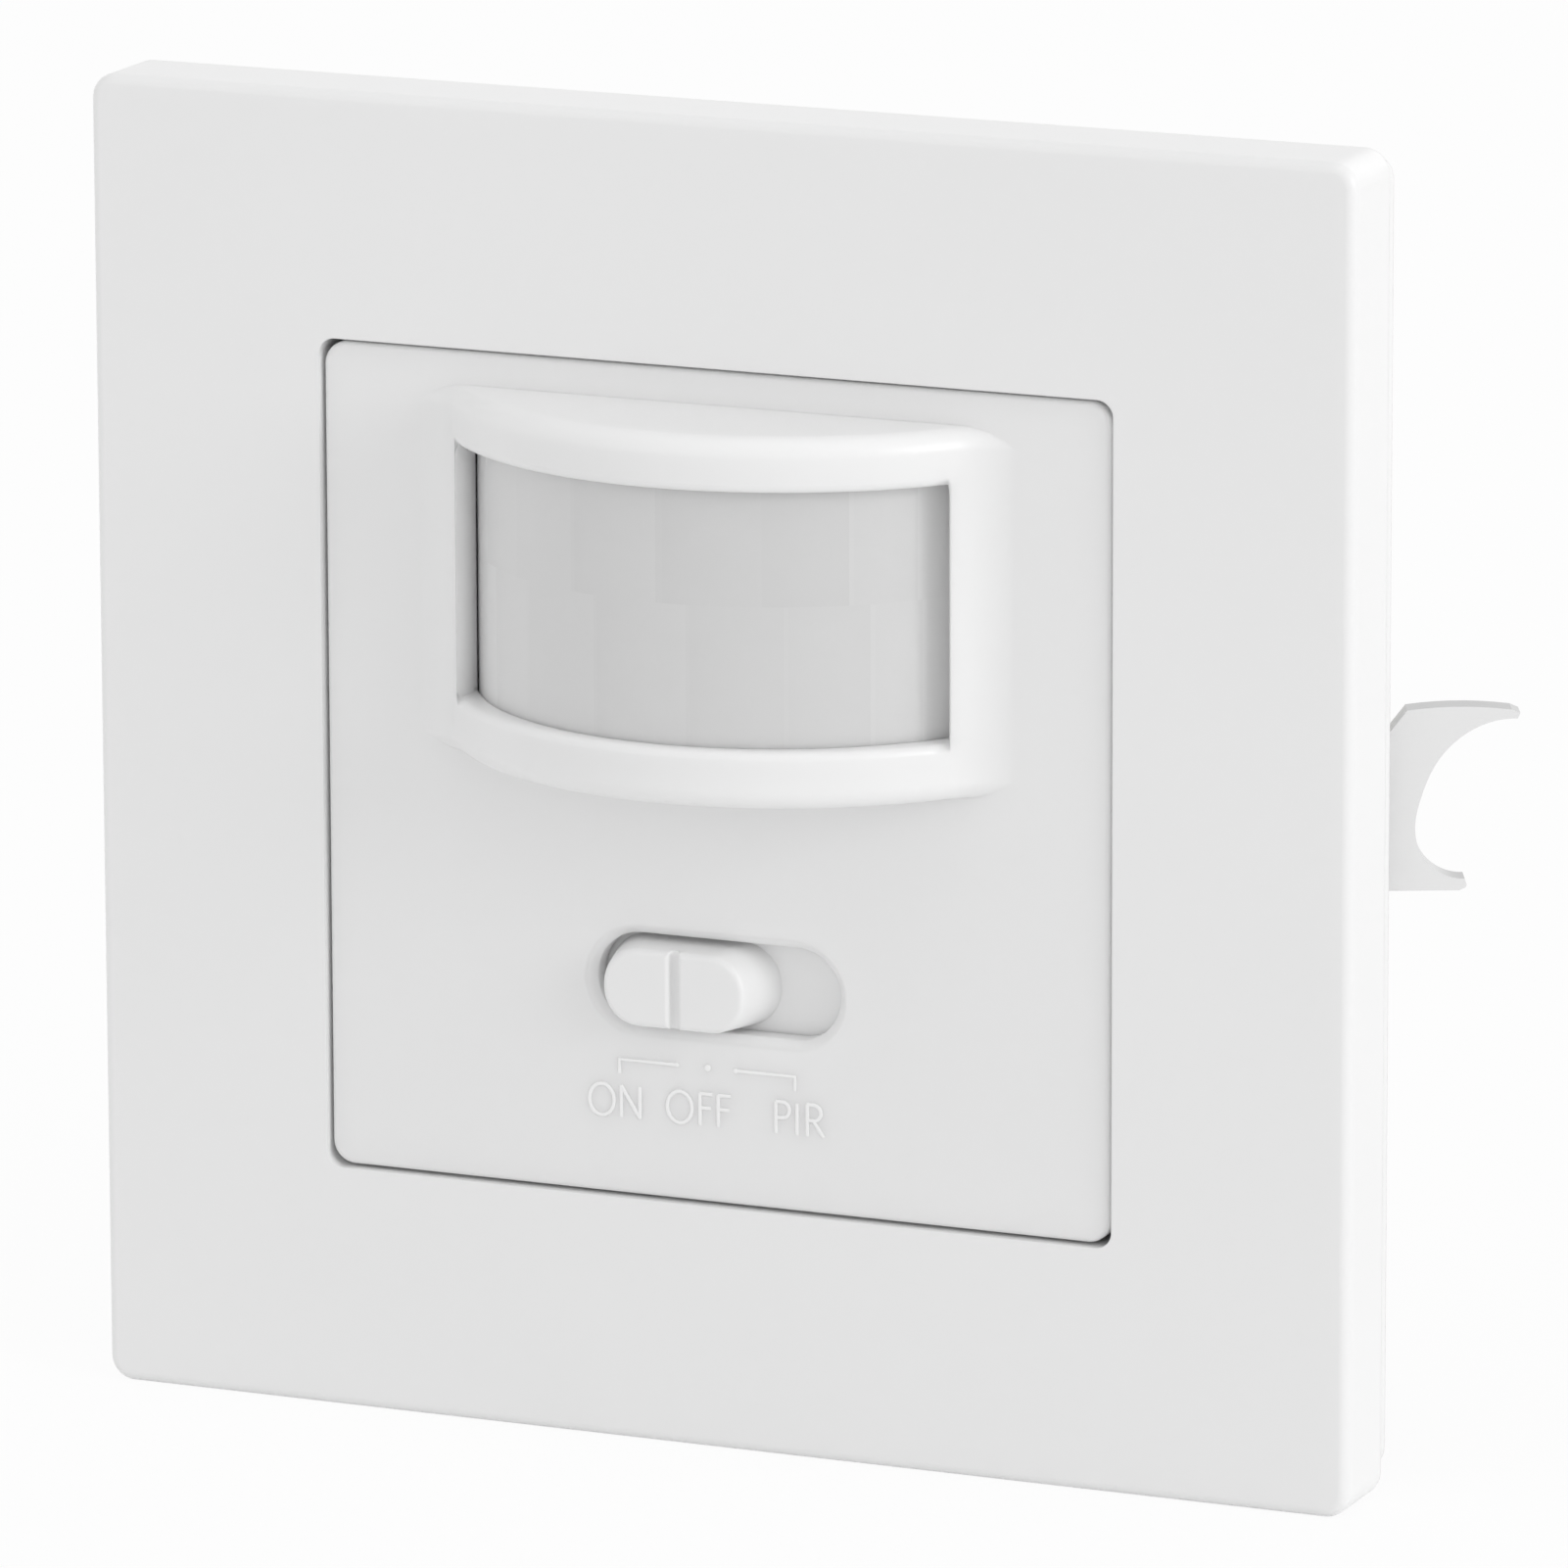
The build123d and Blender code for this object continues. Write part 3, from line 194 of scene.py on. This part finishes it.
def painted_facing_shade(tree, colour, factor):
    """The colour, darkened where the surface faces up or down: painted shade on the sheet's top and
    bottom edge bands.
    """
    coordinates = tree.nodes.new("ShaderNodeTexCoord")
    split = tree.nodes.new("ShaderNodeSeparateXYZ")
    tree.links.new(coordinates.outputs["Normal"], split.inputs["Vector"])
    upright = math_node(tree, "ABSOLUTE", split.outputs["Z"])
    return mix_colours(tree, "MULTIPLY", upright, colour, factor)


def surface(name, colour, rough, share=0.015, grain=6.0, relief=0.002, stretch=(1.0, 1.0, 1.0),
            mottle=0.08, soft_edge=0.0, painted_shade_factor=None, **sockets):
    """A moulded, cast or plated surface: a fine grain, a slow change of tone and uneven gloss.

    share is the change of tone. grain and mottle are the fine and the slow noise, in cells for
    each millimetre. relief is the grain's height and soft_edge the rounding of sharp edges, both
    in millimetres. painted_shade_factor, if given, darkens faces that face up or down: painted shade.
    """
    material, tree, output = new_material(name)
    shader = add(tree, "ShaderNodeBsdfPrincipled", **sockets)
    slow = noise(tree, mottle, stretch)
    fine = noise(tree, grain, stretch)
    tone = shades(tree, slow, colour, share)
    # Painted shade where the surface faces up or down
    if painted_shade_factor is not None:
        tone = painted_facing_shade(tree, tone, painted_shade_factor)
    tree.links.new(tone, shader.inputs["Base Color"])
    gloss = spread(tree, fine, rough * (1 - ROUGH_SHARE), rough * (1 + ROUGH_SHARE))
    tree.links.new(gloss, shader.inputs["Roughness"])
    bump = add(tree, "ShaderNodeBump", Strength=1.0, Distance=relief * MM)
    tree.links.new(fine, bump.inputs["Height"])
    if soft_edge:
        rounding = add(tree, "ShaderNodeBevel", Radius=soft_edge * MM)
        rounding.samples = BEVEL_SAMPLES
        tree.links.new(rounding.outputs["Normal"], bump.inputs["Normal"])
    tree.links.new(bump.outputs["Normal"], shader.inputs["Normal"])
    tree.links.new(shader.outputs["BSDF"], output.inputs["Surface"])
    return material


# Materials, one for each slot of the record

WHITE = (0.9, 0.9, 0.9)
BLACK = (0.03, 0.03, 0.03)
STEEL = (0.66, 0.66, 0.65)
# Light goes a little way into white plastic, and further where the wall is thin
EVEN_RADIUS = (1.0, 1.0, 1.0)
MILKY = {"Subsurface_Weight": 0.15, "Subsurface_Scale": 0.8 * MM, "Subsurface_Radius": EVEN_RADIUS}
THIN_MILKY = dict(MILKY, Subsurface_Weight=0.5, Subsurface_Scale=1.5 * MM)

materials = {
    "frame_plastic": surface("frame_plastic", WHITE, 0.32, share=0.003, grain=5.0, relief=0.0003,
                             soft_edge=0.15, **MILKY),
    "plate_plastic": surface("plate_plastic", WHITE, 0.32, share=0.003, grain=5.0, relief=0.0003,
                             soft_edge=0.2, **THIN_MILKY),
    "knob_plastic": surface("knob_plastic", WHITE, 0.38, share=0.003, grain=7.0, relief=0.0004,
                            soft_edge=0.15, **MILKY),
    "inner_plastic": surface("inner_plastic", (0.88, 0.88, 0.87), 0.5, share=0.008),
    "housing_plastic": surface("housing_plastic", (0.62, 0.62, 0.60), 0.45, grain=4.0, relief=0.004),
    # The claw's top and bottom edge bands get painted shade
    "claw_steel": surface("claw_steel", (0.83, 0.83, 0.83), 0.36, share=0.004, grain=0.6,
                          relief=0.0003, mottle=0.3, painted_shade_factor=0.66, Metallic=1.0),
    "ring_steel": surface("ring_steel", (0.66, 0.66, 0.655), 0.34, share=0.04, grain=3.0,
                          stretch=(0.15, 1.0, 1.0), mottle=0.2, Metallic=1.0),
    "screw_steel": surface("screw_steel", STEEL, 0.3, share=0.05, mottle=0.5, Metallic=1.0),
    "board_laminate": surface("board_laminate", (0.05, 0.20, 0.09), 0.35, share=0.08, grain=3.0,
                              relief=0.01),
    "header_plastic": surface("header_plastic", BLACK, 0.5, share=0.1),
    "can_metal": surface("can_metal", (0.70, 0.70, 0.68), 0.25, share=0.04, Metallic=1.0),
    "cell_ceramic": surface("cell_ceramic", (0.62, 0.35, 0.12), 0.4, share=0.08),
    "chip_resin": surface("chip_resin", BLACK, 0.6, share=0.1, relief=0.01),
    "switch_shell": surface("switch_shell", STEEL, 0.3, share=0.04, Metallic=1.0),
    "lever_plastic": surface("lever_plastic", BLACK, 0.45, share=0.1),
    "trimmer_plastic": surface("trimmer_plastic", (0.04, 0.14, 0.42), 0.4, share=0.06),
    "rotor_plastic": surface("rotor_plastic", (0.80, 0.80, 0.78), 0.4, share=0.02),
    "relay_plastic": surface("relay_plastic", (0.02, 0.06, 0.22), 0.35, share=0.06),
    "film_plastic": surface("film_plastic", (0.60, 0.36, 0.05), 0.35, share=0.05),
    "sleeve_plastic": surface("sleeve_plastic", (0.02, 0.02, 0.03), 0.3, share=0.1),
    "varistor_coat": surface("varistor_coat", (0.03, 0.12, 0.38), 0.3, share=0.08, relief=0.01),
    "resistor_coat": surface("resistor_coat", (0.20, 0.30, 0.22), 0.55, share=0.06, relief=0.01),
    "diode_resin": surface("diode_resin", BLACK, 0.45, share=0.1),
    "terminal_plastic": surface("terminal_plastic", (0.55, 0.55, 0.53), 0.45, grain=4.0, relief=0.004),
    "contact_brass": surface("contact_brass", (0.72, 0.56, 0.25), 0.25, share=0.05, Metallic=1.0),
}


# Milky lens: two rows of facets with painted light and shade that differ a little in tone, over a soft
# translucent body

LENS_AXIS_Y = 1.8 * MM
HALF_ANGLE = math.radians(57.9)
FACET_ROW_SHARE = 0.54
lens_low, lens_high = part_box("fresnel_lens")
FACET_Z = lens_low[2] + FACET_ROW_SHARE * (lens_high[2] - lens_low[2])
# Edges between facets from left to right, as shares of the half angle, and a painted tone of light and
# shade for each facet
UPPER_EDGES = (-0.86, -0.63, -0.33, 0.0, 0.33, 0.63, 0.86)
LOWER_EDGES = (-0.78, -0.56, -0.24, 0.1, 0.42, 0.7, 0.88)
# The painted light is lighter at the left end and darker towards the right
UPPER_FACET_PAINTED_LIGHT = (0.97, 0.85, 0.84, 0.81, 0.77, 0.76, 0.79, 0.82)
LOWER_FACET_PAINTED_LIGHT = (0.97, 0.86, 0.84, 0.81, 0.78, 0.78, 0.80, 0.83)
# Half width of the painted highlight line between two facets, as a share of the whole angle, and how
# much lighter it is
EDGE_LINE = 0.004
EDGE_PAINTED_HIGHLIGHT = 0.012
LENS_ROUGH = 0.38
LENS_CLOUD = (0.99, 0.99, 0.99)
CLOUD_SHARE = 0.006
CLOUD_CELLS = 0.25
GRAIN_CELLS = 3.0
GRAIN_HEIGHT = 0.003 * MM


def facet_row(tree, angle, edges, tones):
    """Painted light and shade over the angle: one tone for each facet, with a painted highlight line at
    each edge.
    """
    ramp = tree.nodes.new("ShaderNodeValToRGB")
    ramp.color_ramp.interpolation = "CONSTANT"
    stops = ramp.color_ramp.elements
    while len(stops) > 1:
        stops.remove(stops[-1])
    stops[0].position = 0.0
    stops[0].color = [tones[0]] * 3 + [1.0]
    for edge, tone in zip(edges, tones[1:]):
        start = (edge + 1) / 2
        stops.new(start - EDGE_LINE).color = [tone + EDGE_PAINTED_HIGHLIGHT] * 3 + [1.0]
        stops.new(start + EDGE_LINE).color = [tone] * 3 + [1.0]
    tree.links.new(angle, ramp.inputs["Fac"])
    return ramp.outputs["Color"]


def lens_material():
    """White translucent plastic, with the facets' painted light and shade by angle and height."""
    material, tree, output = new_material("lens_plastic")
    shader = add(tree, "ShaderNodeBsdfPrincipled", Roughness=LENS_ROUGH, Subsurface_Weight=0.8,
                 Subsurface_Scale=2.0 * MM, Subsurface_Radius=EVEN_RADIUS)
    coordinates = tree.nodes.new("ShaderNodeTexCoord")
    split = tree.nodes.new("ShaderNodeSeparateXYZ")
    tree.links.new(coordinates.outputs["Object"], split.inputs["Vector"])
    depth = math_node(tree, "SUBTRACT", LENS_AXIS_Y, split.outputs["Y"])
    turned = math_node(tree, "ARCTAN2", split.outputs["X"], depth)
    share = math_node(tree, "MULTIPLY", turned, 0.5 / HALF_ANGLE)
    angle = math_node(tree, "ADD", share, 0.5)
    upper = facet_row(tree, angle, UPPER_EDGES, UPPER_FACET_PAINTED_LIGHT)
    lower = facet_row(tree, angle, LOWER_EDGES, LOWER_FACET_PAINTED_LIGHT)
    above = math_node(tree, "GREATER_THAN", split.outputs["Z"], FACET_Z)
    rows = mix_colours(tree, "MIX", above, lower, upper)
    cloud = shades(tree, noise(tree, CLOUD_CELLS), LENS_CLOUD, CLOUD_SHARE)
    tree.links.new(mix_colours(tree, "MULTIPLY", 1.0, rows, cloud), shader.inputs["Base Color"])
    bump = add(tree, "ShaderNodeBump", Strength=1.0, Distance=GRAIN_HEIGHT)
    tree.links.new(noise(tree, GRAIN_CELLS), bump.inputs["Height"])
    tree.links.new(bump.outputs["Normal"], shader.inputs["Normal"])
    tree.links.new(shader.outputs["BSDF"], output.inputs["Surface"])
    return material


materials["lens_plastic"] = lens_material()

for name, node in nodes_by_name.items():
    node.data.materials.clear()
    node.data.materials.append(materials[slot_of_node[name]])


# Centre plate with the head and the sill of the hood's window rounded, as the mould leaves them

HOOD_AXIS_Y = 3.1 * MM
HOOD_R = 20.4 * MM
LENS_MARGIN = 1.2 * MM
WINDOW_HALF = 15.7 * MM
WINDOW_LOW = lens_low[2] + LENS_MARGIN
WINDOW_HIGH = lens_high[2] - LENS_MARGIN
LEVEL_ROUND = 0.45 * MM
ROUND_STEPS = 4
NEAR = 0.03 * MM
WELD = 0.0005 * MM
FLAT_ANGLE = math.radians(0.2)
SHARP_ANGLE = math.radians(35)


def at_window(edge):
    """True if an edge is part of the window's head or sill on the hood's round front."""
    ends = [vertex.co for vertex in edge.verts]
    on_hood = all(abs(math.hypot(end.x, end.y - HOOD_AXIS_Y) - HOOD_R) < NEAR
                  and abs(end.x) < WINDOW_HALF + NEAR for end in ends)
    at_level = any(all(abs(end.z - z) < NEAR for end in ends) for z in (WINDOW_LOW, WINDOW_HIGH))
    return on_hood and at_level and edge.calc_face_angle() > SHARP_ANGLE


def soft_plate():
    """A copy of the centre plate with these edges rounded, in its place."""
    shape = bmesh.new()
    shape.from_mesh(nodes_by_name["centre_plate"].data)
    bmesh.ops.remove_doubles(shape, verts=shape.verts, dist=WELD)
    bmesh.ops.dissolve_limit(shape, angle_limit=FLAT_ANGLE, verts=shape.verts, edges=shape.edges)
    weights = shape.edges.layers.float.new("bevel_weight_edge")
    for edge in shape.edges:
        edge[weights] = float(at_window(edge))
    mesh = bpy.data.meshes.new("plate_moulding")
    shape.to_mesh(mesh)
    shape.free()
    for face in mesh.polygons:
        face.use_smooth = True
    mesh.set_sharp_from_angle(angle=SHARP_ANGLE)
    mesh.materials.clear()
    mesh.materials.append(materials["plate_plastic"])
    piece = bpy.data.objects.new("plate_moulding", mesh)
    scene.collection.objects.link(piece)
    rounding = piece.modifiers.new("rounding", "BEVEL")
    rounding.limit_method = "WEIGHT"
    rounding.width = LEVEL_ROUND
    rounding.segments = ROUND_STEPS
    rounding.use_clamp_overlap = False
    flatness = piece.modifiers.new("flatness", "WEIGHTED_NORMAL")
    flatness.keep_sharp = True
    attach(piece, "switch")
    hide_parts("centre_plate")


soft_plate()


# Raised marks under the slot: two brackets, a dot and the three words, as thin moulded beads.
# All sizes and places of this section are in millimetres

PLATE_FACE = -8.05
BEAD = 0.12
# How far a bead's round section is flattened towards the plate
BEAD_FLAT = 0.2
BEAD_RESOLUTION = 2
CAP_TOP, BASE_LINE = -18.43, -20.35
ARC_STEPS = 20
O_HALF = 0.8
N_WIDTH = 1.2
F_WIDTH, F_ARM, F_ARM_LIFT = 0.82, 0.72, 0.1
# Bowl of P and R: the straight part, the round part, and its height as a share of half a capital
BOWL_STRAIGHT, BOWL_ROUND, BOWL_SHARE = 0.42, 0.45, 0.5
LEG_START, LEG_END = 0.4, 1.05
# Each word's letters with their left edges
WORDS = (
    ("mark_on", (("O", -8.17), ("N", -6.11))),
    ("mark_off", (("O", -3.14), ("F", -1.03), ("F", 0.14))),
    ("mark_pir", (("P", 3.84), ("I", 5.2), ("R", 5.85))),
)
LINE_Z, TICK_Z = -16.84, -17.69
# Each bracket's outer end, which has the tick, and its inner end
BRACKETS = (("mark_bracket_on", -6.21, -2.5), ("mark_bracket_pir", 5.07, 1.3))
# Each stud's place along the brackets' line, and its radius
STUDS = (("mark_tip_on", -2.49, 0.15), ("mark_dot", -0.53, 0.22), ("mark_tip_pir", 1.27, 0.17))
STUD_HEIGHT = 0.03
STUD_SIDES, STUD_RINGS = 20, 4
mark_plastic = surface("mark_plastic", (0.96, 0.96, 0.96), 0.3, share=0.003, relief=0.0001)


def place_mark(name, data):
    """An object of a mark's curve or mesh, on the body that carries the plate."""
    drawn = bpy.data.objects.new(name, data)
    scene.collection.objects.link(drawn)
    drawn.data.materials.append(mark_plastic)
    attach(drawn, "switch")
    return drawn


def bead(name, lines):
    """A thin flattened bead along lines of points (x, z), half sunk in the plate."""
    curve = bpy.data.curves.new(name, "CURVE")
    curve.dimensions = "3D"
    curve.bevel_depth = BEAD * MM
    curve.bevel_resolution = BEAD_RESOLUTION
    curve.use_fill_caps = True
    for line in lines:
        spline = curve.splines.new("POLY")
        closed = line[0] == line[-1]
        line = line[:-1] if closed else line
        spline.points.add(len(line) - 1)
        for point, (x, z) in zip(spline.points, line):
            point.co = (x * MM, 0.0, z * MM, 1.0)
        spline.use_cyclic_u = closed
    drawn = place_mark(name, curve)
    drawn.location.y = PLATE_FACE * MM
    drawn.scale.y = BEAD_FLAT


def arc(x, z, across, tall, start, stop):
    """Points on an ellipse between two angles, in degrees from the right and counter-clockwise."""
    angles = [math.radians(start + (stop - start) * i / ARC_STEPS) for i in range(ARC_STEPS + 1)]
    return [(x + across * math.cos(a), z + tall * math.sin(a)) for a in angles]


def letter(which, x):
    """The strokes of a capital letter whose left edge is at x."""
    middle = (CAP_TOP + BASE_LINE) / 2
    half = (CAP_TOP - BASE_LINE) / 2
    stem = [(x, BASE_LINE), (x, CAP_TOP)]
    if which == "O":
        ring = arc(x + O_HALF, middle, O_HALF, half, 0, 360)
        return [ring[:-1] + ring[:1]]
    if which == "N":
        far = x + N_WIDTH
        return [stem, [(x, CAP_TOP), (far, BASE_LINE)], [(far, BASE_LINE), (far, CAP_TOP)]]
    if which == "F":
        arm_z = middle + F_ARM_LIFT
        return [stem, [(x, CAP_TOP), (x + F_WIDTH, CAP_TOP)], [(x, arm_z), (x + F_ARM, arm_z)]]
    if which == "I":
        return [stem]
    bowl_tall = half * BOWL_SHARE
    bowl_low = CAP_TOP - 2 * bowl_tall
    bend = arc(x + BOWL_STRAIGHT, CAP_TOP - bowl_tall, BOWL_ROUND, bowl_tall, 90, -90)
    bowl = [(x, CAP_TOP)] + bend + [(x, bowl_low)]
    if which == "P":
        return [stem, bowl]
    return [stem, bowl, [(x + LEG_START, bowl_low), (x + LEG_END, BASE_LINE)]]


def stud(name, x, z, radius):
    """A low round dome on the plate, as rings of points closed at the top and sunk at the foot."""
    points, faces = [], []
    for ring in range(STUD_RINGS):
        lift = math.pi / 2 * ring / STUD_RINGS
        reach = radius * math.cos(lift)
        for step in range(STUD_SIDES):
            turned = 2 * math.pi * step / STUD_SIDES
            points.append(((x + reach * math.cos(turned)) * MM,
                           (PLATE_FACE - STUD_HEIGHT * math.sin(lift)) * MM,
                           (z + reach * math.sin(turned)) * MM))
    points.append((x * MM, (PLATE_FACE - STUD_HEIGHT) * MM, z * MM))
    for ring in range(STUD_RINGS - 1):
        for step in range(STUD_SIDES):
            after = (step + 1) % STUD_SIDES
            low, high = ring * STUD_SIDES, (ring + 1) * STUD_SIDES
            faces.append((low + step, high + step, high + after, low + after))
    top = len(points) - 1
    high = (STUD_RINGS - 1) * STUD_SIDES
    faces += [(high + step, top, high + (step + 1) % STUD_SIDES) for step in range(STUD_SIDES)]
    faces.append(tuple(range(STUD_SIDES)))
    mesh = bpy.data.meshes.new(name)
    mesh.from_pydata(points, [], faces)
    mesh.validate()
    mesh.update()
    for face in mesh.polygons:
        face.use_smooth = True
    place_mark(name, mesh)


for name, word in WORDS:
    bead(name, [line for which, x in word for line in letter(which, x)])
for name, outer, inner in BRACKETS:
    bead(name, [[(outer, TICK_Z), (outer, LINE_Z), (inner, LINE_Z)]])
for name, x, radius in STUDS:
    stud(name, x, LINE_Z, radius)


# Floor, backdrop and light

FLOOR_HALF = 6.0
FLOOR_COLOUR = (0.9, 0.9, 0.9, 1.0)
# Share of plain white in the floor as the camera sees it. The rest shows the shadow
FLOOR_WHITE = 0.92
PURE_WHITE = (1.0, 1.0, 1.0, 1.0)
FILL_STRENGTH = 0.74
# Each lamp's place and side are in metres, and its power is in watts
LAMPS = (
    ("key", (2.4, -0.55, 0.8), 19.0, 1.2),
    ("top", (0.1, -0.6, 2.4), 3.0, 1.6),
    ("front", (-0.9, -2.3, 0.5), 1.9, 1.4),
    ("rear", (0.4, 2.4, 1.0), 3.0, 1.6),
)


def seen_directly(tree):
    """1 on camera, glossy and transmission rays, which show the background as plain white."""
    path = tree.nodes.new("ShaderNodeLightPath")
    either = math_node(tree, "MAXIMUM", path.outputs["Is Camera Ray"], path.outputs["Is Glossy Ray"])
    return math_node(tree, "MAXIMUM", either, path.outputs["Is Transmission Ray"])


def floor_material():
    """Matte white that looks almost like the backdrop, with a trace of the object's shadow."""
    material, tree, output = new_material("floor_white")
    matte = add(tree, "ShaderNodeBsdfDiffuse", Color=FLOOR_COLOUR)
    glow = add(tree, "ShaderNodeEmission", Color=PURE_WHITE, Strength=1.0)
    mix = tree.nodes.new("ShaderNodeMixShader")
    share = math_node(tree, "MULTIPLY", seen_directly(tree), FLOOR_WHITE)
    tree.links.new(share, mix.inputs["Fac"])
    tree.links.new(matte.outputs["BSDF"], mix.inputs[1])
    tree.links.new(glow.outputs["Emission"], mix.inputs[2])
    tree.links.new(mix.outputs["Shader"], output.inputs["Surface"])
    return material


floor_mesh = bpy.data.meshes.new("floor")
corners = [(a * FLOOR_HALF, b * FLOOR_HALF, cad_low.z) for a, b in ((-1, -1), (1, -1), (1, 1), (-1, 1))]
floor_mesh.from_pydata(corners, [], [(0, 1, 2, 3)])
floor = bpy.data.objects.new("floor", floor_mesh)
scene.collection.objects.link(floor)
floor.data.materials.append(floor_material())

world = bpy.data.worlds.new("studio")
scene.world = world
world.use_nodes = True
tree = world.node_tree
tree.nodes.clear()
world_output = tree.nodes.new("ShaderNodeOutputWorld")
fill = add(tree, "ShaderNodeBackground", Color=PURE_WHITE, Strength=FILL_STRENGTH)
shown = add(tree, "ShaderNodeBackground", Color=PURE_WHITE, Strength=1.0)
choose = tree.nodes.new("ShaderNodeMixShader")
tree.links.new(seen_directly(tree), choose.inputs["Fac"])
tree.links.new(fill.outputs["Background"], choose.inputs[1])
tree.links.new(shown.outputs["Background"], choose.inputs[2])
tree.links.new(choose.outputs["Shader"], world_output.inputs["Surface"])

for name, place, power, side in LAMPS:
    # A square soft lamp that looks at the object and isn't seen itself
    light = bpy.data.lights.new(name, "AREA")
    light.shape = "SQUARE"
    light.size = side
    light.energy = power
    holder = bpy.data.objects.new(name, light)
    scene.collection.objects.link(holder)
    holder.location = place
    holder.rotation_mode = "QUATERNION"
    holder.rotation_quaternion = (-Vector(place)).to_track_quat("-Z", "Y")
    holder.visible_camera = False

scene.view_settings.view_transform = "Standard"
